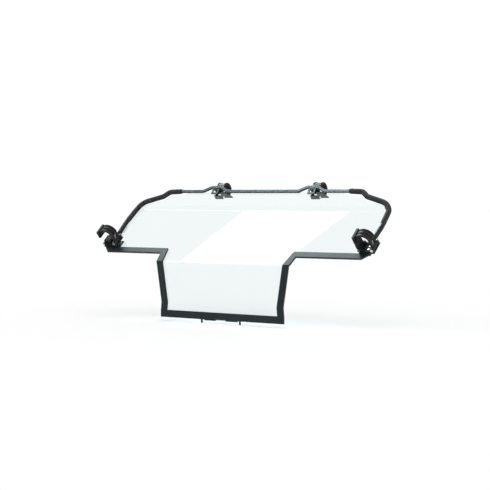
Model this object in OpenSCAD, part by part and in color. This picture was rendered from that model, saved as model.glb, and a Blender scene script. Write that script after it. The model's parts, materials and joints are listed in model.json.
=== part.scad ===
// Framed, folded clear windshield with swing hooks for a roll cage. Millimetres, +Z up, +Y to the rear.
// The origin is on the centreline, at the underside of the bottom rail, where the locating pins leave it.

/* [Lower frame] */
// Width of the flat frame bar
bar_w = 29; // [24:1:32]
// Thickness of the flat frame bar
bar_t = 8; // [6:0.5:10]
// Half width of the drop panel at the bottom rail, to the bar's centreline
foot_x = 281; // [260:1:300]
// Half width at the kink of the drop rails
kink_x = 278; // [260:1:300]
// Height of the kink of the drop rails
kink_z = 62; // [40:1:90]
// Half width at the lower fold
fold_x = 304; // [290:1:320]
// Height of the lower fold
fold_z = 223; // [200:1:240]
// Half width to the outer edge of the frame corner
corner_x = 641; // [630:1:650]

/* [Sloped panel] */
// Slope of the middle panel from the horizontal
mid_slope = 41; // [36:0.5:46]
// Distance up the slope from the lower fold to the middle of the sill
sill_s = 62; // [56:1:70]
// Distance up the slope from the lower fold to the upper fold
upper_s = 320; // [300:1:340]
// Slope of the top strip from the horizontal
top_slope = 55.5; // [50:0.5:60]
// Thickness of the clear sheet
sheet_t = 4.5; // [3:0.5:6]
// Thickness of the seal between the sheet and the frame
seal_t = 1.5; // [1:0.5:3]

/* [Top rail] */
// Height of the top rail's face
rail_w = 12; // [10:0.5:14]
// Depth of the top rail
rail_t = 9; // [8:0.5:11]
// Distance up the top strip from the upper fold to the rail
rail_s = 90; // [84:1:96]
// Rise of the two humps above the rail
hump_h = 20; // [14:1:24]
// Distance of a hump from the centreline
hump_x = 237; // [220:1:250]

/* [Side tubes] */
// Outer diameter of the side tubes and of the sleeves on them
tube_d = 22; // [20:0.5:24]
// Diameter of the rod inside the sleeves
core_d = 14; // [12:0.5:16]

/* [Clamps] */
// Diameter of the cage pillar that the lower hooks take
pillar_d = 46; // [44:0.5:48]
// Diameter of the header tube that the top clamps take
header_d = 45; // [43:0.5:47]
// Thickness of the hook walls
hook_t = 7; // [5:0.5:8]
// Width of the lower hooks along the pillar
hook_w = 36; // [30:1:60]
// Diameter of the hook pins
pin_d = 8; // [6:0.5:9]
// Radial running clearance at the hook pins
pin_gap = 0.05; // [0.02:0.01:0.1]

/* [Foot] */
// Diameter of the locating pins
peg_d = 8; // [6:0.5:10]
// Length of the locating pins below the rail
peg_h = 14; // [10:1:20]
// Distance between the locating pins
peg_span = 184; // [150:1:200]

/* [Hidden] */
half_t = bar_t / 2;
half_w = bar_w / 2;
wide = 1500;
upper_y = upper_s * cos(mid_slope);
upper_z = fold_z + upper_s * sin(mid_slope);
sheet_front = half_t + seal_t;
sheet_back = sheet_front + sheet_t;
sheet_mid = sheet_front + sheet_t / 2;
top_s = upper_s + rail_s;
frame_black = [0.13, 0.14, 0.15];
steel = [0.6, 0.62, 0.64];
rubber = [0.2, 0.2, 0.2];
plastic = [0.1, 0.11, 0.11];

// Unit vectors, rounded corners and bands along a path
function unit(v) = v / norm(v);
function arc(a, p, b, r, n) =
    let (u = unit(a - p), v = unit(b - p), half = acos(u * v) / 2,
        from = p + u * r / tan(half), to = p + v * r / tan(half),
        c = p + unit(u + v) * r / sin(half))
    [for (i = [0:n]) c + unit(from + (to - from) * i / n - c) * r];
function rounded(path, radii, n) =
    [path[0], for (i = [1:len(path) - 2]) each arc(path[i - 1], path[i], path[i + 1], radii[i - 1], n),
        path[len(path) - 1]];
function normal2(path, i) =
    let (n = len(path), a = path[max(i - 1, 0)], b = path[i], c = path[min(i + 1, n - 1)],
        u = i == 0 ? unit(c - b) : unit(b - a), v = i == n - 1 ? u : unit(c - b), m = unit(u + v))
    [-m.y, m.x] / (m * u);
function band(path, w) =
    let (n = len(path))
    [for (i = [0:n - 1]) path[i] + normal2(path, i) * w / 2,
        for (i = [n - 1:-1:0]) path[i] - normal2(path, i) * w / 2];
function flip(points) = [for (i = [len(points) - 1:-1:0]) [-points[i].x, points[i].y]];

// A place on the folded surface: x across, s up the slope from the lower fold
function on_fold(x, s) = s <= upper_s
    ? [x, s * cos(mid_slope), fold_z + s * sin(mid_slope)]
    : [x, upper_y + (s - upper_s) * cos(top_slope), upper_z + (s - upper_s) * sin(top_slope)];
// Height of the sheet's middle at that place
function sheet_z(s) = on_fold(0, s).z - sheet_mid * cos(s <= upper_s ? mid_slope : top_slope);

// The three planes of the frame: y runs up the plane, z to the front
module drop_plane() {
    rotate([90, 0, 0]) children();
}
module mid_plane() {
    translate([0, 0, fold_z]) rotate([mid_slope, 0, 0]) children();
}
module top_plane() {
    translate([0, upper_y, upper_z]) rotate([top_slope, 0, 0]) children();
}
module side(right) {
    mirror([right ? 0 : 1, 0, 0]) children();
}
// A block up the slope from s0 to s1, across x0 to x1 and out from n0 to n1
module slope_box(x0, x1, s0, s1, n0, n1) {
    translate([x0, s0, n0]) cube([x1 - x0, s1 - s0, n1 - n0]);
}
// A rod up the slope
module slope_rod(x, n, s0, s1, r) {
    translate([x, s0, n]) rotate([-90, 0, 0]) cylinder(r = r, h = s1 - s0, $fn = 48);
}

// ---- Clear sheet ----
function rear(a) = [sin(a), -cos(a)];
function fold_shift(d, a, b) = d * (rear(a) + rear(b)) / (1 + rear(a) * rear(b));
function layer_line(d, low, high) = [
    [d, low],
    [0, fold_z] + fold_shift(d, 90, mid_slope),
    [upper_y, upper_z] + fold_shift(d, mid_slope, top_slope),
    [on_fold(0, high).y, on_fold(0, high).z] + d * rear(top_slope)];
fold_r = 14;
module layer(d0, d1, low, high) {
    near = rounded(layer_line(d0, low, high), [fold_r + d1 - d0, fold_r], 6);
    far = rounded(layer_line(d1, low, high), [fold_r, fold_r + d1 - d0], 6);
    rotate([90, 0, 90]) linear_extrude(height = wide, center = true)
        polygon(concat(near, [for (i = [len(far) - 1:-1:0]) far[i]]));
}
tube_clear = tube_d / 2 + 0.6;
lap = 9;
sheet_side = rounded([
    [0, lap],
    [foot_x + half_w - lap, lap],
    [kink_x + half_w - lap, kink_z],
    [fold_x + half_w - lap, fold_z],
    [fold_x + half_w, sheet_z(sill_s - half_w + lap)],
    [corner_x - bar_w - 8, sheet_z(sill_s - half_w + lap)],
    [corner_x - lap, sheet_z(sill_s + half_w + 2)],
    [corner_x - lap, sheet_z(140)],
    [616 - tube_clear, sheet_z(166)],
    [621 - tube_clear, sheet_z(227)],
    [613 - tube_clear, sheet_z(346)],
    [500, sheet_z(384 - tube_clear - 6)],
    [466, sheet_z(top_s - tube_clear - 6)],
    [400, sheet_z(top_s - tube_clear - 6)],
    [380, sheet_z(top_s)],
    [0, sheet_z(top_s)]],
    [6, 40, 40, 5, 8, 10, 20, 8, 60, 50, 30, 20, 4, 4], 5);
module sheet_outline() {
    polygon(concat(sheet_side, flip(sheet_side)));
}
module clear_panel() {
    color([0.85, 0.92, 0.93, 0.35])
    difference() {
        intersection() {
            layer(sheet_front, sheet_back, 0, top_s + 20);
            rotate([90, 0, 0]) linear_extrude(height = wide, center = true) sheet_outline();
        }
        bolt_holes();
    }
}
// Bead of seal that bonds the sheet to the back of the flat bars
seal_w = 12;
module panel_seal() {
    color(rubber) difference() {
        seal_strips();
        bolt_holes();
    }
}
module seal_strips() {
    for (right = [false, true]) side(right) {
        drop_plane() translate([0, 0, -sheet_front]) linear_extrude(height = seal_t)
            polygon(band([[foot_x, lap + 10], [kink_x, kink_z], [fold_x - 1, fold_z - 8]], seal_w));
        mid_plane()
            slope_box(fold_x + 20, corner_x - bar_w - 10, sill_s - 3, sill_s + 9, -sheet_front, -half_t);
        mid_plane() slope_box(corner_x - 22, corner_x - 10, sill_s + half_w + 6, 138, -sheet_front, -half_t);
    }
    drop_plane() translate([-foot_x + 10, lap, -sheet_front]) cube([2 * foot_x - 20, 10, seal_t]);
    top_plane() translate([-180, rail_s - 5, -sheet_front]) cube([360, 5, sheet_front - rail_t / 2]);
}

// ---- Lower frame ----
peg_seat = 12;
module bottom_rail() {
    color(frame_black)
    drop_plane() difference() {
        translate([-foot_x - half_w, 0, -half_t]) cube([2 * foot_x + bar_w, bar_w, bar_t]);
        for (x = [-1, 1]) translate([x * peg_span / 2, 0, 0]) rotate([-90, 0, 0])
            translate([0, 0, -1]) cylinder(d = peg_d - 2, h = peg_seat + 1, $fn = 40);
    }
}
module drop_rail(right) {
    color(frame_black)
    side(right) difference() {
        drop_plane() translate([0, 0, -half_t]) linear_extrude(height = bar_t)
            polygon([[foot_x - half_w, bar_w], [foot_x + half_w, bar_w], [kink_x + half_w, kink_z],
                [fold_x + half_w + 2.5, fold_z + 20], [fold_x - half_w + 2.5, fold_z + 20],
                [kink_x - half_w, kink_z]]);
        translate([0, 0, fold_z]) rotate([(mid_slope + 90) / 2 - 90, 0, 0])
            translate([0, -60, 0]) cube([wide, 120, 60]);
    }
}
leg_x = 315.5;
module sill(right) {
    color(frame_black)
    side(right) difference() {
        mid_plane() translate([0, 0, -half_t]) linear_extrude(height = bar_t)
            polygon([[fold_x - half_w - 2.5, -20], [fold_x + half_w - 2.5, -20],
                [fold_x + half_w, 0], [leg_x + half_w - 4, sill_s - half_w],
                [corner_x - 31, sill_s - half_w], [corner_x, sill_s + half_w + 3],
                [corner_x - bar_w, sill_s + half_w + 3], [corner_x - bar_w - 4, sill_s + half_w],
                [leg_x - half_w + 3, sill_s + half_w], [fold_x - half_w, 0]]);
        translate([0, 0, fold_z]) rotate([(mid_slope + 90) / 2 - 90, 0, 0])
            translate([0, -60, -60]) cube([wide, 120, 60]);
    }
}
upright_top = 152;
module corner_upright(right) {
    color(frame_black)
    side(right) difference() {
        mid_plane() translate([0, 0, -half_t]) linear_extrude(height = bar_t)
            polygon([[corner_x - bar_w, sill_s + half_w + 3], [corner_x, sill_s + half_w + 3],
                [corner_x - 1, upright_top], [corner_x - 10, upright_top + 9],
                [corner_x - bar_w, upright_top + 9]]);
        side(right) bolt_holes();
    }
}

// ---- Side tubes and sleeves ----
tube_sides = 16;
side_line = rounded([[617, upright_top + 10], [622, 227], [614, 347], [500, 384], [473, top_s - 3],
    [413, top_s]], [160, 62, 26, 26], 6);
side_points = [for (q = side_line) on_fold(q.x, q.y)];
split = 7;
function ring(points, i, r) =
    let (n = len(points), a = points[max(i - 1, 0)], b = points[min(i + 1, n - 1)], t = unit(b - a),
        u = unit(cross(t, [0, -sin(mid_slope), cos(mid_slope)])), v = cross(t, u))
    [for (j = [0:tube_sides - 1])
        points[i] + r * (cos(j * 360 / tube_sides) * u + sin(j * 360 / tube_sides) * v)];
// Rings joined in order; caps close both ends, or the last ring joins the first when looped
module rings(list, looped) {
    n = len(list);
    m = tube_sides;
    walls = [for (i = [0:n - (looped ? 1 : 2)], j = [0:m - 1])
        let (a = i * m + j, b = i * m + (j + 1) % m, c = ((i + 1) % n) * m + (j + 1) % m,
            d = ((i + 1) % n) * m + j)
        each [[a, b, c], [a, c, d]]];
    caps = looped ? [] : [[for (j = [m - 1:-1:0]) j], [for (j = [0:m - 1]) (n - 1) * m + j]];
    polyhedron(points = [for (r = list) each r], faces = concat(walls, caps), convexity = 6);
}
module side_tube(right) {
    n = len(side_points);
    color(frame_black)
    side(right) rings(concat([for (i = [0:split]) ring(side_points, i, tube_d / 2)],
        [for (i = [split:n - 1]) ring(side_points, i, core_d / 2)]), false);
}
module sleeve(right) {
    n = len(side_points);
    color(rubber)
    side(right) rings(concat([for (i = [split:n - 1]) ring(side_points, i, tube_d / 2)],
        [for (i = [n - 1:-1:split]) ring(side_points, i, core_d / 2)]), true);
}

// ---- Top rail with its humps and latch tabs ----
hump_half = 24;
hump_foot = 62;
rail_half = rounded([[413, 0], [hump_x + hump_foot, 0], [hump_x + hump_half, hump_h],
    [hump_x - hump_half, hump_h], [hump_x - hump_foot, 0], [0, 0]], [40, 40, 40, 40], 5);
rail_line = concat(rail_half, [for (i = [len(rail_half) - 2:-1:0]) [-rail_half[i].x, rail_half[i].y]]);
module top_rail() {
    color(frame_black)
    top_plane() translate([0, rail_s, -rail_t / 2]) linear_extrude(height = rail_t)
        polygon(band(rail_line, rail_w));
}
tab_w = 33;
tab_h = 27;
tab_t = 5;
window_w = 18;
window_h = 14;
module latch_tab(right) {
    color(frame_black)
    side(right) top_plane() translate([hump_x, rail_s + hump_h - rail_w / 2, 0]) difference() {
        translate([-tab_w / 2, -tab_h, -tab_t / 2]) cube([tab_w, tab_h, tab_t]);
        translate([-window_w / 2, -tab_h + 7, -tab_t]) cube([window_w, window_h, 2 * tab_t]);
    }
}

// ---- Foot: locating pins and the strip between them ----
module locating_pins() {
    color(steel)
    for (x = [-1, 1]) translate([x * peg_span / 2, 0, -peg_h]) {
        translate([0, 0, 1.5]) cylinder(d = peg_d, h = peg_h - 1.5, $fn = 40);
        translate([0, 0, peg_h]) cylinder(d = peg_d - 2, h = peg_seat, $fn = 40);
        cylinder(d1 = peg_d - 3, d2 = peg_d, h = 1.5, $fn = 40);
    }
}
strip_gap = 50;
strip_h = 3.5;
peg_clear = 13;
module foot_strip() {
    color(rubber)
    for (right = [false, true]) side(right) translate([strip_gap / 2, -half_t + 0.5, -strip_h])
        cube([peg_span / 2 - strip_gap / 2 - peg_clear, bar_t - 1, strip_h]);
}

// ---- Lower clamps: both are the same part, not mirrored. x is taken from the middle of the hook ----
pad_t = 2.5;
hook_n = 51;
hook_in = pillar_d / 2 + pad_t;
hook_out = hook_in + hook_t;
hook_s = 86;
hook_end = hook_s + hook_w;
left_x = -613;
right_x = 620;
swing_x = hook_in + hook_t / 2;
swing_n = 17;
swing_r = 8.5;
keeper_x = -27;
keeper_n = 14;
keeper_r = 6;
keeper_h = 33;
keeper_deep = 13;
keeper_pin_r = 3;
fold_turn = 88;
ear_t = 8;
ear_gap = 0.4;
plate_t = 3.5;
plate_n = half_t + plate_t;
bolt_r = 3;
bolt_places = [[-626, 95], [-626, 113], [624, 95], [624, 113]];

module at_clamp(right) {
    mid_plane() translate([right ? right_x : left_x, 0, 0]) children();
}
// Extrudes an (x, n) outline up the slope
module prism(s0, s1) {
    translate([0, s1, 0]) rotate([90, 0, 0]) linear_extrude(height = s1 - s0) children();
}
module bolt_holes() {
    mid_plane() for (q = bolt_places) translate([q.x, q.y, -30])
        cylinder(r = bolt_r + 0.2, h = 60, $fn = 32);
}
module hook_base(right) {
    color(plastic)
    difference() {
        at_clamp(right) {
            slope_box(-28, 38, hook_s - ear_t - 4, hook_end + ear_t + 4, half_t, plate_n);
            for (s = [hook_s - ear_gap - ear_t, hook_end + ear_gap]) prism(s, s + ear_t) difference() {
                polygon([[-28, plate_n - 1], [38, plate_n - 1], [38, 20], [35, 25], [24, 25],
                    [12, 13], [-16, 13], [-21, 20], [-31, 20], [-33, 17], [-33, 12]]);
                translate([swing_x, swing_n]) circle(d = pin_d, $fn = 40);
                translate([keeper_x, keeper_n]) circle(r = keeper_pin_r, $fn = 32);
            }
        }
        bolt_holes();
        mid_plane() for (q = bolt_places) translate([q.x, q.y, plate_n - 2.6])
            cylinder(r1 = bolt_r + 0.2, r2 = bolt_r + 2.8, h = 2.6, $fn = 32);
    }
}
module backing_plate(right) {
    x0 = right ? -28 : -26;
    x1 = right ? 12 : 42;
    color(plastic)
    difference() {
        at_clamp(right) slope_box(x0, x1, hook_s - 6, hook_end + 2, -sheet_back - plate_t, -sheet_back);
        bolt_holes();
    }
}
module base_bolts() {
    color(steel)
    mid_plane() for (q = bolt_places) translate([q.x, q.y, 0]) {
        translate([0, 0, -sheet_back - plate_t - 6])
            cylinder(r = bolt_r, h = sheet_back + plate_t + 6 + plate_n - 2, $fn = 32);
        translate([0, 0, plate_n - 2.4]) cylinder(r1 = bolt_r, r2 = bolt_r + 2.4, h = 2.4, $fn = 32);
        translate([0, 0, -sheet_back - plate_t - 5]) cylinder(r = 5.5, h = 5, $fn = 6);
    }
}
module upper_half(r) {
    intersection() {
        children();
        translate([-r, 0]) square([2 * r, r]);
    }
}
rib_h = 2.5;
rib_w = 4;
module hook_outline(r) {
    translate([0, hook_n]) upper_half(60) difference() {
        circle(r = r, $fn = 96);
        circle(r = hook_in, $fn = 96);
    }
    translate([hook_in, swing_n]) square([hook_t, hook_n - swing_n]);
    translate([swing_x, swing_n]) circle(r = swing_r, $fn = 48);
}
lip_over = 8;
lip_x = 34;
// The hook's free end: a flat lip with a square corner, wider than the strap
module hook_lip() {
    polygon([[-lip_x, hook_n - 2], [-hook_in, hook_n - 2], [-hook_in, hook_n],
        [-hook_out + 3, hook_n + 8], [-hook_out + 10, hook_n + 20], [-hook_out + 7, hook_n + 29],
        [-lip_x, hook_n + 29]]);
}
rib_count = 3;
rib_step = (hook_w - rib_w) / (rib_count - 1);
module swing_hook(right) {
    color(plastic)
    at_clamp(right) difference() {
        union() {
            for (k = [0:rib_count - 1]) {
                s = hook_s + k * rib_step;
                prism(s, s + rib_w) hook_outline(hook_out + rib_h);
                if (k < rib_count - 1) prism(s + rib_w, s + rib_step) hook_outline(hook_out);
            }
            prism(hook_s - lip_over, hook_end + lip_over) hook_lip();
        }
        slope_rod(swing_x, swing_n, hook_s - 1, hook_end + 1, pin_d / 2 + pin_gap);
        slope_box(hook_in - 1, hook_out + 1, hook_s + 9, hook_end - 9, swing_n + 12, hook_n - 4);
    }
}
module hook_pad(right) {
    color(rubber)
    at_clamp(right) prism(hook_s + 2, hook_end - 2) {
        translate([0, hook_n]) upper_half(60) difference() {
            circle(r = hook_in, $fn = 96);
            circle(r = hook_in - pad_t, $fn = 96);
        }
    }
}
module hook_pin(right) {
    color(steel)
    at_clamp(right) {
        slope_rod(swing_x, swing_n, hook_s - ear_t - 2, hook_end + ear_t + 2, pin_d / 2);
        for (s = [hook_s - ear_gap - ear_t - 3, hook_end + ear_gap + ear_t])
            slope_rod(swing_x, swing_n, s, s + 3, pin_d / 2 + 2.5);
    }
}
module keeper(right) {
    color(plastic)
    at_clamp(right) translate([keeper_x, 0, keeper_n]) rotate([0, right ? 0 : fold_turn, 0])
        prism(hook_s + 1, hook_end - 1) difference() {
            union() {
                circle(r = keeper_r, $fn = 48);
                polygon([[-keeper_deep, 0], [4, 0], [4, keeper_h - 7], [1, keeper_h - 3], [1, keeper_h],
                    [-keeper_deep + 5, keeper_h], [-keeper_deep, keeper_h - 6]]);
            }
            circle(r = keeper_pin_r + pin_gap, $fn = 32);
        }
}
module keeper_pin(right) {
    color(steel)
    at_clamp(right) {
        slope_rod(keeper_x, keeper_n, hook_s - ear_t - 2, hook_end + ear_t + 2, keeper_pin_r);
        for (s = [hook_s - ear_gap - ear_t - 2.5, hook_end + ear_gap + ear_t])
            slope_rod(keeper_x, keeper_n, s, s + 2.5, keeper_pin_r + 2);
    }
}

// ---- Top clamps, round a header tube that runs across ----
header_y = 352;
header_z = 510;
clamp_in = header_d / 2 + 2;
clamp_out = clamp_in + 7;
clamp_w = 38;
hinge_turn = 228;
hinge_far = clamp_out + 7;
hinge_r = 8;
jaw_pin_r = 4;
knuckle_w = 18.4;
hinge_at = [header_y + hinge_far * cos(hinge_turn), header_z + hinge_far * sin(hinge_turn)];

// Extrudes a (y, z) outline across, centred on a hump
module across(w) {
    translate([hump_x - w / 2, 0, 0]) rotate([90, 0, 90]) linear_extrude(height = w) children();
}
module shell(r0, r1, a0, a1) {
    translate([header_y, header_z]) intersection() {
        difference() {
            circle(r = r1, $fn = 96);
            circle(r = r0, $fn = 96);
        }
        polygon([[0, 0], for (i = [0:12]) 80 * [cos(a0 + (a1 - a0) * i / 12), sin(a0 + (a1 - a0) * i / 12)]]);
    }
}
function on_shell(r, a) = [header_y + r * cos(a), header_z + r * sin(a)];
function rail_back(t) = [upper_y + t * cos(top_slope) + rail_t / 2 * sin(top_slope),
    upper_z + t * sin(top_slope) - rail_t / 2 * cos(top_slope)];
hump_s = rail_s + hump_h;
module top_clamp(right) {
    color(plastic)
    side(right) {
        across(clamp_w) {
            shell(clamp_in, clamp_out, 8, 210);
            polygon([rail_back(hump_s - 6), rail_back(hump_s + 6),
                on_shell(clamp_out - 1, 140), on_shell(clamp_out - 1, 190)]);
        }
        difference() {
            across(clamp_w) difference() {
                union() {
                    translate(hinge_at) circle(r = hinge_r, $fn = 48);
                    polygon([on_shell(clamp_out - 1, 196), on_shell(clamp_in + 1, 209),
                        hinge_at + hinge_r * [cos(20), sin(20)], hinge_at + hinge_r * [cos(170), sin(170)]]);
                }
                translate(hinge_at) circle(r = jaw_pin_r, $fn = 40);
            }
            across(knuckle_w + 0.8) translate([hinge_at.x - 20, hinge_at.y - 20]) square([40, 33.2]);
        }
        for (x = [-1, 1]) translate([x * (clamp_w / 2 - 2), 0, 0])
            across(4) shell(clamp_out - 1, clamp_out + 2.5, 10, 120);
    }
}
module top_pad(right) {
    color(rubber)
    side(right) across(clamp_w - 4) shell(header_d / 2, clamp_in, 12, 205);
}
module top_jaw(right) {
    color(plastic)
    side(right) {
        across(clamp_w) {
            shell(clamp_in, clamp_out, 246, 350);
            polygon([on_shell(clamp_out - 1, 300), on_shell(clamp_out - 1, 320),
                [header_y + 44, header_z - clamp_out + 5], [header_y + 44, header_z - clamp_out]]);
        }
        across(knuckle_w) difference() {
            union() {
                translate(hinge_at) circle(r = hinge_r, $fn = 48);
                polygon([hinge_at + hinge_r * [cos(80), sin(80)] * 0.8, on_shell(clamp_in + 1, 247),
                    on_shell(clamp_out - 1, 256), hinge_at + hinge_r * [cos(280), sin(280)]]);
                polygon([hinge_at + [0, 4], hinge_at + [-28, 8], hinge_at + [-28, 3], hinge_at + [0, -6]]);
            }
            translate(hinge_at) circle(r = jaw_pin_r + pin_gap, $fn = 40);
        }
    }
}
module jaw_pad(right) {
    color(rubber)
    side(right) across(clamp_w - 4) shell(header_d / 2, clamp_in, 250, 346);
}
module jaw_pin(right) {
    color(steel)
    side(right) {
        across(clamp_w + 2) translate(hinge_at) circle(r = jaw_pin_r, $fn = 40);
        for (x = [-1, 1]) translate([x * (clamp_w / 2 + 1), 0, 0])
            across(2) translate(hinge_at) circle(r = jaw_pin_r + 2, $fn = 40);
    }
}

clear_panel();
panel_seal();
bottom_rail();
drop_rail(false);  // drop_rail_left
drop_rail(true);  // drop_rail_right
sill(false);  // sill_left
sill(true);  // sill_right
corner_upright(false);  // corner_upright_left
corner_upright(true);  // corner_upright_right
side_tube(false);  // side_tube_left
side_tube(true);  // side_tube_right
sleeve(false);  // sleeve_left
sleeve(true);  // sleeve_right
top_rail();
latch_tab(false);  // latch_tab_left
latch_tab(true);  // latch_tab_right
locating_pins();
foot_strip();
hook_base(false);  // hook_base_left
hook_base(true);  // hook_base_right
backing_plate(false);  // backing_plate_left
backing_plate(true);  // backing_plate_right
base_bolts();
swing_hook(false);  // swing_hook_left
swing_hook(true);  // swing_hook_right
hook_pad(false);  // hook_pad_left
hook_pad(true);  // hook_pad_right
hook_pin(false);  // hook_pin_left
hook_pin(true);  // hook_pin_right
keeper(false);  // keeper_left
keeper(true);  // keeper_right
keeper_pin(false);  // keeper_pin_left
keeper_pin(true);  // keeper_pin_right
top_clamp(false);  // top_clamp_left
top_clamp(true);  // top_clamp_right
top_pad(false);  // top_pad_left
top_pad(true);  // top_pad_right
top_jaw(false);  // top_jaw_left
top_jaw(true);  // top_jaw_right
jaw_pad(false);  // jaw_pad_left
jaw_pad(true);  // jaw_pad_right
jaw_pin(false);  // jaw_pin_left
jaw_pin(true);  // jaw_pin_right
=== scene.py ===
"""Looks for the framed clear windshield: materials, rounded edges, sleeves, welds and moulded detail."""
import json
import math

import bmesh
import bpy
from mathutils import Matrix, Vector, noise

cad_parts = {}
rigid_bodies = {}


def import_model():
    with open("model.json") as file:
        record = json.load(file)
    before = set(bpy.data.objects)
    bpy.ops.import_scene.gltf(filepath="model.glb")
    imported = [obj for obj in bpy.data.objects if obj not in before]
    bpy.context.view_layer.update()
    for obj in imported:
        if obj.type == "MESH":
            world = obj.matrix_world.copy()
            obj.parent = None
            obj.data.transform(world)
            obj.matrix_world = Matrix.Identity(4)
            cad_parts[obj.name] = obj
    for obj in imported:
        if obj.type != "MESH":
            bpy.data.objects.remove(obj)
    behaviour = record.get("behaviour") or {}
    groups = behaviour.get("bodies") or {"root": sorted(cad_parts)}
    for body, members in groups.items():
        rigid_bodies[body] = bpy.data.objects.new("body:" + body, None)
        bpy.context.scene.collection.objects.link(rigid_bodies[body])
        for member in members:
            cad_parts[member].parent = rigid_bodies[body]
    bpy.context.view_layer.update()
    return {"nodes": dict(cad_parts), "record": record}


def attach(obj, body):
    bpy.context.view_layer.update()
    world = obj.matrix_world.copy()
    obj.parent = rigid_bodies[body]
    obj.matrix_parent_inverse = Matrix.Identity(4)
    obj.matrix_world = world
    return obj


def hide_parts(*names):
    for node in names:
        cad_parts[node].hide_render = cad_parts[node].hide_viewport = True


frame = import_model()
scene = bpy.context.scene
nodes = frame["nodes"]

# Driving places, in metres, as the part has them
FOLD_Z = 0.223
MID_SLOPE = math.radians(41)
TOP_SLOPE = math.radians(55.5)
UPPER_S = 0.320
HUMP_X = 0.237
TUBE_R = 0.011
BAR_HALF = 0.004
X_AXIS = Vector((1, 0, 0))


def tilted(angle, origin):
    """The frame of a sloped plane: x across, y up the plane, z to the front."""
    return Matrix.Translation(origin) @ Matrix.Rotation(angle, 4, "X")


MID = tilted(MID_SLOPE, Vector((0, 0, FOLD_Z)))
UPPER = Vector((0, UPPER_S * math.cos(MID_SLOPE), FOLD_Z + UPPER_S * math.sin(MID_SLOPE)))
TOP = tilted(TOP_SLOPE, UPPER)


# ---- Camera, lights and floor ----
AZIMUTH = math.radians(34.59)
ELEVATION = math.radians(2.07)
AIM = Vector((0.0168, 0.1435, 0.2921))
DISTANCE = 5.444


def toward(azimuth, elevation):
    """Direction from the object towards a place round it."""
    return Vector((math.sin(azimuth) * math.cos(elevation), -math.cos(azimuth) * math.cos(elevation),
                   math.sin(elevation)))


def make_camera():
    data = bpy.data.cameras.new("camera")
    data.lens = 100
    data.sensor_width = 36
    data.clip_end = 60
    cam = bpy.data.objects.new("camera", data)
    scene.collection.objects.link(cam)
    back = toward(AZIMUTH, ELEVATION)
    cam.location = AIM + back * DISTANCE
    cam.rotation_mode = "QUATERNION"
    cam.rotation_quaternion = (-back).to_track_quat("-Z", "Y")
    scene.camera = cam


def area_light(name, place, aim, size, power):
    data = bpy.data.lights.new(name, "AREA")
    data.shape = "RECTANGLE"
    data.size, data.size_y = size
    data.energy = power
    lamp = bpy.data.objects.new(name, data)
    scene.collection.objects.link(lamp)
    lamp.location = place
    lamp.rotation_mode = "QUATERNION"
    lamp.rotation_quaternion = (Vector(aim) - Vector(place)).to_track_quat("-Z", "Y")
    return lamp


def ceiling_strip(name, place, size, turn, power):
    """A soft box that hangs level and faces straight down, turned about the vertical."""
    lamp = area_light(name, place, Vector(place) - Vector((0, 0, 1)), size, power)
    lamp.rotation_quaternion = Matrix.Rotation(turn, 3, "Z").to_quaternion()
    return lamp


COOL_LAMP = (0.84, 0.98, 1.0)


def make_lights():
    """Soft boxes over the object; the white room itself comes from the world."""
    lamps = [
        ceiling_strip("band_box", (-1.85, 0.41, 3.2), (3.4, 0.46), math.radians(35.2), 14),
        ceiling_strip("sill_box", (-2.35, 1.65, 3.2), (2.2, 1.1), 0.0, 250),
        ceiling_strip("rail_box", (-0.4, -1.7, 3.2), (2.2, 0.9), 0.0, 600),
    ]
    for lamp in lamps[1:]:
        lamp.data.color = COOL_LAMP
    world = bpy.data.worlds.new("studio")
    world.use_nodes = True
    world.node_tree.nodes["Background"].inputs["Color"].default_value = (1, 1, 1, 1)
    world.node_tree.nodes["Background"].inputs["Strength"].default_value = 1.04
    scene.world = world
    scene.view_settings.view_transform = "Standard"
    return lamps


FLOOR_Z = -0.0142


def make_floor():
    """A white floor that runs out into the white room."""
    bm = bmesh.new()
    bmesh.ops.create_circle(bm, cap_ends=True, segments=96, radius=60)
    mesh = bpy.data.meshes.new("floor")
    bm.to_mesh(mesh)
    bm.free()
    floor = bpy.data.objects.new("floor", mesh)
    floor.location.z = FLOOR_Z
    scene.collection.objects.link(floor)
    mat, tree, shader = new_material("pale_floor")
    tint(tree, shader, (0.965, 0.965, 0.965), (0.975, 0.975, 0.975), 3.0)
    shader.inputs["Roughness"].default_value = 0.9
    shader.inputs["Specular IOR Level"].default_value = 0.1
    mesh.materials.append(mat)


def light_only_the_object(lamps):
    """Keeps the soft boxes off the floor, and the last one on the top rail and its tabs alone."""
    for lamp in lamps:
        lit = bpy.data.collections.new("lit_by_" + lamp.name)
        for thing in scene.objects:
            on_top = any(word in thing.name for word in ("top_rail", "latch_tab"))
            if thing.type == "MESH" and thing.name != "floor" and (on_top or lamp is not lamps[-1]):
                lit.objects.link(thing)
        lamp.light_linking.receiver_collection = lit


# ---- Materials ----
def new_material(name):
    mat = bpy.data.materials.new(name)
    mat.use_nodes = True
    tree = mat.node_tree
    return mat, tree, tree.nodes["Principled BSDF"]


def noise_node(tree, scale, detail=4.0):
    coords = tree.nodes.new("ShaderNodeTexCoord")
    node = tree.nodes.new("ShaderNodeTexNoise")
    node.inputs["Scale"].default_value = scale
    node.inputs["Detail"].default_value = detail
    node.inputs["Roughness"].default_value = 0.55
    tree.links.new(coords.outputs["Object"], node.inputs["Vector"])
    return node


def ramp_between(tree, source, low, high):
    ramp = tree.nodes.new("ShaderNodeValToRGB")
    ramp.color_ramp.elements[0].position = 0.3
    ramp.color_ramp.elements[1].position = 0.7
    ramp.color_ramp.elements[0].color = (*low, 1)
    ramp.color_ramp.elements[1].color = (*high, 1)
    tree.links.new(source, ramp.inputs["Fac"])
    return ramp


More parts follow.
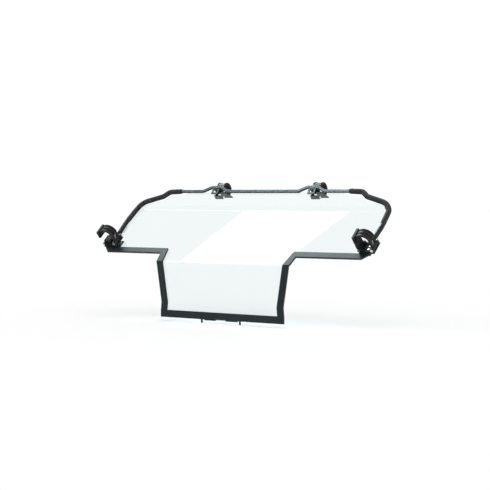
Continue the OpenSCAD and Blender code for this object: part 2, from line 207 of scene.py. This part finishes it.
def tint(tree, shader, low, high, scale):
    """Base colour that drifts between two near shades."""
    ramp = ramp_between(tree, noise_node(tree, scale).outputs["Fac"], low, high)
    tree.links.new(ramp.outputs["Color"], shader.inputs["Base Color"])


def roughen(tree, shader, low, high, scale):
    ramp = ramp_between(tree, noise_node(tree, scale).outputs["Fac"], (low,) * 3, (high,) * 3)
    tree.links.new(ramp.outputs["Color"], shader.inputs["Roughness"])


def bump(tree, shader, source, strength, distance):
    node = tree.nodes.new("ShaderNodeBump")
    node.inputs["Strength"].default_value = strength
    node.inputs["Distance"].default_value = distance
    tree.links.new(source, node.inputs["Height"])
    tree.links.new(node.outputs["Normal"], shader.inputs["Normal"])


def cells(tree, scale):
    coords = tree.nodes.new("ShaderNodeTexCoord")
    node = tree.nodes.new("ShaderNodeTexVoronoi")
    node.inputs["Scale"].default_value = scale
    tree.links.new(coords.outputs["Object"], node.inputs["Vector"])
    return node


def frame_coat():
    """Satin black powder coat with a faint orange peel."""
    mat, tree, shader = new_material("frame_coat")
    tint(tree, shader, (0.005, 0.0085, 0.0095), (0.009, 0.0145, 0.016), 18)
    roughen(tree, shader, 0.30, 0.42, 40)
    bump(tree, shader, noise_node(tree, 700, 3).outputs["Fac"], 0.25, 0.0003)
    shader.inputs["Specular IOR Level"].default_value = 0.25
    shader.inputs["Specular Tint"].default_value = (0.88, 1.0, 1.0, 1)
    return mat


def sleeve_foam():
    """Matte closed-cell foam rubber with open pores."""
    mat, tree, shader = new_material("sleeve_foam")
    tint(tree, shader, (0.016, 0.019, 0.019), (0.037, 0.041, 0.042), 150)
    roughen(tree, shader, 0.72, 0.92, 90)
    bump(tree, shader, cells(tree, 620).outputs["Distance"], 0.55, 0.0005)
    shader.inputs["Specular IOR Level"].default_value = 0.25
    shader.inputs["Sheen Weight"].default_value = 0.02
    shader.inputs["Sheen Roughness"].default_value = 0.5
    return mat


def moulded_black():
    """Glass-filled nylon with a spark-eroded grain."""
    mat, tree, shader = new_material("moulded_black")
    tint(tree, shader, (0.006, 0.007, 0.007), (0.015, 0.0165, 0.016), 60)
    roughen(tree, shader, 0.45, 0.62, 220)
    bump(tree, shader, noise_node(tree, 1600, 2).outputs["Fac"], 0.35, 0.0003)
    shader.inputs["Specular IOR Level"].default_value = 0.22
    return mat


def soft_black(name, low, high, scale):
    """Plain rubber for pads and seals."""
    mat, tree, shader = new_material(name)
    tint(tree, shader, low, high, scale)
    roughen(tree, shader, 0.66, 0.84, scale * 2)
    bump(tree, shader, noise_node(tree, scale * 8, 2).outputs["Fac"], 0.3, 0.0003)
    shader.inputs["Specular IOR Level"].default_value = 0.3
    return mat


def zinc_steel():
    """Bright zinc plate with a spangle of duller patches."""
    mat, tree, shader = new_material("zinc_steel")
    tint(tree, shader, (0.50, 0.51, 0.53), (0.68, 0.69, 0.70), 240)
    roughen(tree, shader, 0.24, 0.42, 300)
    bump(tree, shader, noise_node(tree, 1200, 2).outputs["Fac"], 0.15, 0.0002)
    shader.inputs["Metallic"].default_value = 1.0
    return mat


def clear_sheet():
    """Polycarbonate: clear, a trace of blue-green, with lamps let through to what is behind."""
    mat, tree, shader = new_material("clear_sheet")
    tint(tree, shader, (0.865, 0.915, 0.913), (0.883, 0.929, 0.927), 2.5)
    shader.inputs["Roughness"].default_value = 0.0
    shader.inputs["IOR"].default_value = 1.45
    shader.inputs["Transmission Weight"].default_value = 1.0
    clear = tree.nodes.new("ShaderNodeBsdfTransparent")
    clear.inputs["Color"].default_value = (0.93, 0.96, 0.96, 1)
    mix = tree.nodes.new("ShaderNodeMixShader")
    path = tree.nodes.new("ShaderNodeLightPath")
    tree.links.new(path.outputs["Is Shadow Ray"], mix.inputs["Fac"])
    tree.links.new(shader.outputs["BSDF"], mix.inputs[1])
    tree.links.new(clear.outputs["BSDF"], mix.inputs[2])
    tree.links.new(mix.outputs["Shader"], tree.nodes["Material Output"].inputs["Surface"])
    return mat


MATERIALS = {
    "frame_coat": frame_coat(),
    "sleeve_foam": sleeve_foam(),
    "moulded_black": moulded_black(),
    "seal_rubber": soft_black("seal_rubber", (0.006, 0.006, 0.006), (0.014, 0.014, 0.014), 120),
    "pad_rubber": soft_black("pad_rubber", (0.008, 0.008, 0.009), (0.020, 0.020, 0.020), 160),
    "zinc_steel": zinc_steel(),
    "clear_sheet": clear_sheet(),
}
SLOT_OF = {part["node"]: part["material_slot"] for part in frame["record"]["subparts"]}
BODY_OF = {node: body for body, members in frame["record"]["behaviour"]["bodies"].items() for node in members}


# ---- Pieces ----
SAME_PLACE = 2e-6
FLAT_ANGLE = math.radians(1)
SHARP_ANGLE = math.radians(35)
SIDES = ("left", "right")


def add_piece(name, mesh, body, slot):
    """A finished mesh as a piece that rides a body and takes a slot's material."""
    mesh.materials.clear()
    mesh.materials.append(MATERIALS[slot])
    piece = bpy.data.objects.new(name, mesh)
    scene.collection.objects.link(piece)
    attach(piece, body)
    return piece


def shade_smooth(mesh):
    for face in mesh.polygons:
        face.use_smooth = True


def applied(mesh, kind, **settings):
    """The mesh after one modifier."""
    holder = bpy.data.objects.new("holder", mesh)
    scene.collection.objects.link(holder)
    modifier = holder.modifiers.new("step", kind)
    for key, value in settings.items():
        setattr(modifier, key, value)
    bpy.context.view_layer.update()
    depsgraph = bpy.context.evaluated_depsgraph_get()
    result = bpy.data.meshes.new_from_object(holder.evaluated_get(depsgraph))
    bpy.data.objects.remove(holder)
    return result


def eased(node, width, segments):
    """Stands for a CAD node with its sharp edges rounded over, inside the same faces."""
    bm = bmesh.new()
    bm.from_mesh(nodes[node].data)
    bmesh.ops.remove_doubles(bm, verts=bm.verts, dist=SAME_PLACE)
    bmesh.ops.dissolve_limit(bm, angle_limit=FLAT_ANGLE, verts=bm.verts, edges=bm.edges)
    mesh = bpy.data.meshes.new(node)
    bm.to_mesh(mesh)
    bm.free()
    mesh = applied(mesh, "BEVEL", width=width, segments=segments, limit_method="ANGLE",
                   angle_limit=SHARP_ANGLE, use_clamp_overlap=True)
    shade_smooth(mesh)
    mesh = applied(mesh, "WEIGHTED_NORMAL", keep_sharp=True)
    piece = add_piece(node + "_eased", mesh, BODY_OF[node], SLOT_OF[node])
    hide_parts(node)
    return piece


def finish_cad(node):
    """Gives a CAD node that stays its slot's material."""
    for slot in nodes[node].material_slots:
        slot.material = MATERIALS[SLOT_OF[node]]


# ---- Side tubes and sleeves: swept along the same line as the part ----
def on_fold(x, s):
    """A place on the folded surface: x across, s up the slope from the lower fold."""
    if s <= UPPER_S:
        return MID @ Vector((x, s, 0))
    return TOP @ Vector((x, s - UPPER_S, 0))


def corner(a, p, b, radius, steps):
    """Points of the arc that rounds the corner at p."""
    u, v = (a - p).normalized(), (b - p).normalized()
    half = u.angle(v) / 2
    start, end = p + u * radius / math.tan(half), p + v * radius / math.tan(half)
    centre = p + (u + v).normalized() * radius / math.sin(half)
    return [centre + (start.lerp(end, i / steps) - centre).normalized() * radius for i in range(steps + 1)]


TUBE_CORNERS = [(0.617, 0.162), (0.622, 0.227), (0.614, 0.347), (0.500, 0.384), (0.473, 0.407),
                (0.413, 0.410)]
TUBE_RADII = [0.160, 0.062, 0.026, 0.026]
ARC_STEPS = 14
TUBE_STEP = 0.006
TUBE_INSET = 0.0009
CORE_INSET = 0.004
SLEEVE_INSET = 0.00015
SLEEVE_ROLL = 0.0012
SLEEVE_UNEVEN = 0.00012


def tube_line():
    """The side tube's line and the place where its sleeve starts."""
    flat = [Vector((x, s, 0)) for x, s in TUBE_CORNERS]
    arcs = [corner(flat[i], flat[i + 1], flat[i + 2], radius, ARC_STEPS)
            for i, radius in enumerate(TUBE_RADII)]
    rough = [flat[0]] + [point for arc in arcs for point in arc] + [flat[-1]]
    fine = [rough[0]]
    for a, b in zip(rough, rough[1:]):
        count = max(1, round((b - a).length / TUBE_STEP))
        fine += [a.lerp(b, (i + 1) / count) for i in range(count)]
    split = min(range(len(fine)), key=lambda i: (fine[i] - arcs[0][-1]).length)
    return [on_fold(p.x, p.y) for p in fine], split


def sweep(points, radius_at, sides=40):
    """A closed tube through the points; radius_at(i, angle) is its radius there."""
    bm = bmesh.new()
    up = Vector((0, -math.sin(MID_SLOPE), math.cos(MID_SLOPE)))
    rings = []
    for i, point in enumerate(points):
        ahead, behind = points[min(i + 1, len(points) - 1)], points[max(i - 1, 0)]
        along = (ahead - behind).normalized()
        u = along.cross(up).normalized()
        v = along.cross(u)
        ring = []
        for j in range(sides):
            angle = 2 * math.pi * j / sides
            out = math.cos(angle) * u + math.sin(angle) * v
            ring.append(bm.verts.new(point + radius_at(i, angle) * out))
        rings.append(ring)
    for lower, higher in zip(rings, rings[1:]):
        for j in range(sides):
            k = (j + 1) % sides
            bm.faces.new((lower[j], lower[k], higher[k], higher[j]))
    bm.faces.new(rings[0][::-1])
    bm.faces.new(rings[-1])
    bmesh.ops.recalc_face_normals(bm, faces=bm.faces)
    mesh = bpy.data.meshes.new("sweep")
    bm.to_mesh(mesh)
    bm.free()
    shade_smooth(mesh)
    return mesh


def mirrored(mesh, right):
    """The mesh, flipped to the other side where it isn't the right one."""
    if not right:
        mesh.transform(Matrix.Scale(-1, 4, X_AXIS))
        mesh.flip_normals()
    return mesh


def side_tubes():
    line, split = tube_line()
    last = len(line) - 1

    def sleeve_radius(i, angle):
        """Foam with rolled ends and a slight unevenness."""
        end = min(i, last - split - i)
        roll = SLEEVE_ROLL * max(0, 1 - end / 1.5)
        spot = line[split + i]
        uneven = SLEEVE_UNEVEN * noise.noise(Vector((spot.x * 60, spot.z * 60, angle * 1.3)))
        return TUBE_R - SLEEVE_INSET - roll + uneven

    def tube_radius(i, angle):
        return TUBE_R - TUBE_INSET if i < split + 1 else TUBE_R - CORE_INSET

    for side_name, right in (("left", False), ("right", True)):
        tube = add_piece(f"side_tube_{side_name}_round", mirrored(sweep(line, tube_radius), right),
                         "frame", "frame_coat")
        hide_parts(f"side_tube_{side_name}")
        sleeve = add_piece(f"sleeve_{side_name}_foam", mirrored(sweep(line[split:], sleeve_radius), right),
                           "frame", "sleeve_foam")
        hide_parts(f"sleeve_{side_name}")


# ---- Welds ----
WELD_R = 0.0016
WELD_RIPPLE = 0.0022


def weld(start, end):
    """A rippled fillet of weld between two points, half sunk in the corner."""
    length = (end - start).length
    ripples = max(4, round(length / WELD_RIPPLE))
    count = ripples * 3
    points = [start.lerp(end, i / count) for i in range(count + 1)]

    def bead(i, angle):
        taper = min(1, 4 * i / count, 4 * (count - i) / count)
        return WELD_R * (0.25 + 0.75 * taper) * (0.9 + 0.14 * math.sin(2 * math.pi * i / 3))

    return sweep(points, bead, 10)


def welds():
    """One piece a side: drop rail to sill, sill to upright, upright to tube, tab to rail."""
    spots = [
        (MID, (0.2915, 0.0005, BAR_HALF), (0.3165, 0.0005, BAR_HALF)),
        (MID, (0.6135, 0.079, BAR_HALF), (0.6400, 0.079, BAR_HALF)),
        (MID, (0.6130, 0.1612, BAR_HALF - 0.0005), (0.6270, 0.1612, BAR_HALF - 0.0005)),
        (TOP, (HUMP_X - 0.015, 0.1040, 0.0033), (HUMP_X + 0.015, 0.1040, 0.0033)),
    ]
    for side_name, right in (("left", False), ("right", True)):
        bm = bmesh.new()
        for place, a, b in spots:
            bm.from_mesh(weld(place @ Vector(a), place @ Vector(b)))
        mesh = bpy.data.meshes.new("welds")
        bm.to_mesh(mesh)
        bm.free()
        shade_smooth(mesh)
        add_piece(f"weld_beads_{side_name}", mirrored(mesh, right), "frame", "frame_coat")


# ---- Moulded honeycomb on the keepers ----
def hex_web(centre, across, up, out):
    """Verts and faces of one raised hexagon cell wall."""
    verts, faces = [], []
    for level in (0, CELL_H):
        for reach in (CELL_R, CELL_R - CELL_WALL):
            for j in range(6):
                angle = math.pi / 3 * j
                in_plane = across * reach * math.cos(angle) + up * reach * math.sin(angle)
                verts.append(centre + in_plane + out * level)
    for j in range(6):
        k = (j + 1) % 6
        faces += [(j, k, 12 + k, 12 + j), (12 + j, 12 + k, 18 + k, 18 + j),
                  (18 + j, 18 + k, 6 + k, 6 + j), (6 + j, 6 + k, k, j)]
    return verts, faces


def web_mesh(cells_list):
    verts, faces = [], []
    for cell_verts, cell_faces in cells_list:
        base = len(verts)
        verts += cell_verts
        faces += [tuple(base + i for i in face) for face in cell_faces]
    mesh = bpy.data.meshes.new("web")
    mesh.from_pydata(verts, [], faces)
    bm = bmesh.new()
    bm.from_mesh(mesh)
    bmesh.ops.recalc_face_normals(bm, faces=bm.faces)
    bm.to_mesh(mesh)
    bm.free()
    return mesh


CLAMP_X = {"left": -0.613, "right": 0.620}
KEEPER_X, KEEPER_N = -0.027, 0.014
KEEPER_TURN = {"left": math.radians(88), "right": 0.0}
HOOK_S = 0.086
# The honeycomb: cell radius, wall and height, then the first cell and the steps between cells
CELL_R, CELL_WALL, CELL_H = 0.0058, 0.0013, 0.0012
FIRST_S, COLUMN_STEP, ROW_STEP = 0.0094, 0.0086, 0.0100
EVEN_N, ODD_N = 0.0063, 0.0115
# Each broad face: the way it looks along the keeper's X, and how far out it lies
KEEPER_FACES = ((-1, -0.013), (1, 0.004))


def keeper_webs():
    """Honeycomb on both broad faces of each keeper."""
    for name in ("left", "right"):
        place = (MID @ Matrix.Translation((CLAMP_X[name] + KEEPER_X, 0, KEEPER_N))
                 @ Matrix.Rotation(KEEPER_TURN[name], 4, "Y"))
        turn = place.to_3x3()
        across, up = turn @ Vector((0, 1, 0)), turn @ Vector((0, 0, 1))
        found = []
        for face, depth in KEEPER_FACES:
            out = turn @ Vector((face, 0, 0))
            for column in range(3):
                for row in range(1 if column % 2 else 2):
                    s = HOOK_S + FIRST_S + column * COLUMN_STEP
                    n = (ODD_N if column % 2 else EVEN_N) + row * ROW_STEP
                    found.append(hex_web(place @ Vector((depth, s, n)), across, up, out))
        add_piece(f"keeper_web_{name}", web_mesh(found), f"keeper_{name}", "moulded_black")


# ---- Everything together ----
# Radius of the rounded edges on each kind of piece
BAR_EASE = 0.0011
RAIL_EASE = 0.0012
MOULDED_EASE = 0.0006
PIN_EASE = 0.0004
SMALL_EASE = 0.0003


def finish_all():
    make_camera()
    lamps = make_lights()
    make_floor()
    finish_cad("clear_panel")
    side_tubes()
    for node in ["bottom_rail"] + [f"{part}_{side}" for part in ("drop_rail", "sill", "corner_upright")
                                   for side in SIDES]:
        eased(node, BAR_EASE, 3)
    eased("top_rail", RAIL_EASE, 3)
    for part in ("latch_tab", "hook_base", "swing_hook", "keeper", "top_clamp", "top_jaw",
                 "backing_plate"):
        for side in SIDES:
            eased(f"{part}_{side}", MOULDED_EASE, 2)
    for part in ("hook_pin", "keeper_pin", "jaw_pin"):
        for side in SIDES:
            eased(f"{part}_{side}", PIN_EASE, 2)
    eased("locating_pins", PIN_EASE, 2)
    eased("base_bolts", SMALL_EASE, 2)
    pads = [f"{part}_{side}" for part in ("hook_pad", "top_pad", "jaw_pad") for side in SIDES]
    for node in ["panel_seal", "foot_strip"] + pads:
        eased(node, SMALL_EASE, 1)
    welds()
    keeper_webs()
    light_only_the_object(lamps)


finish_all()
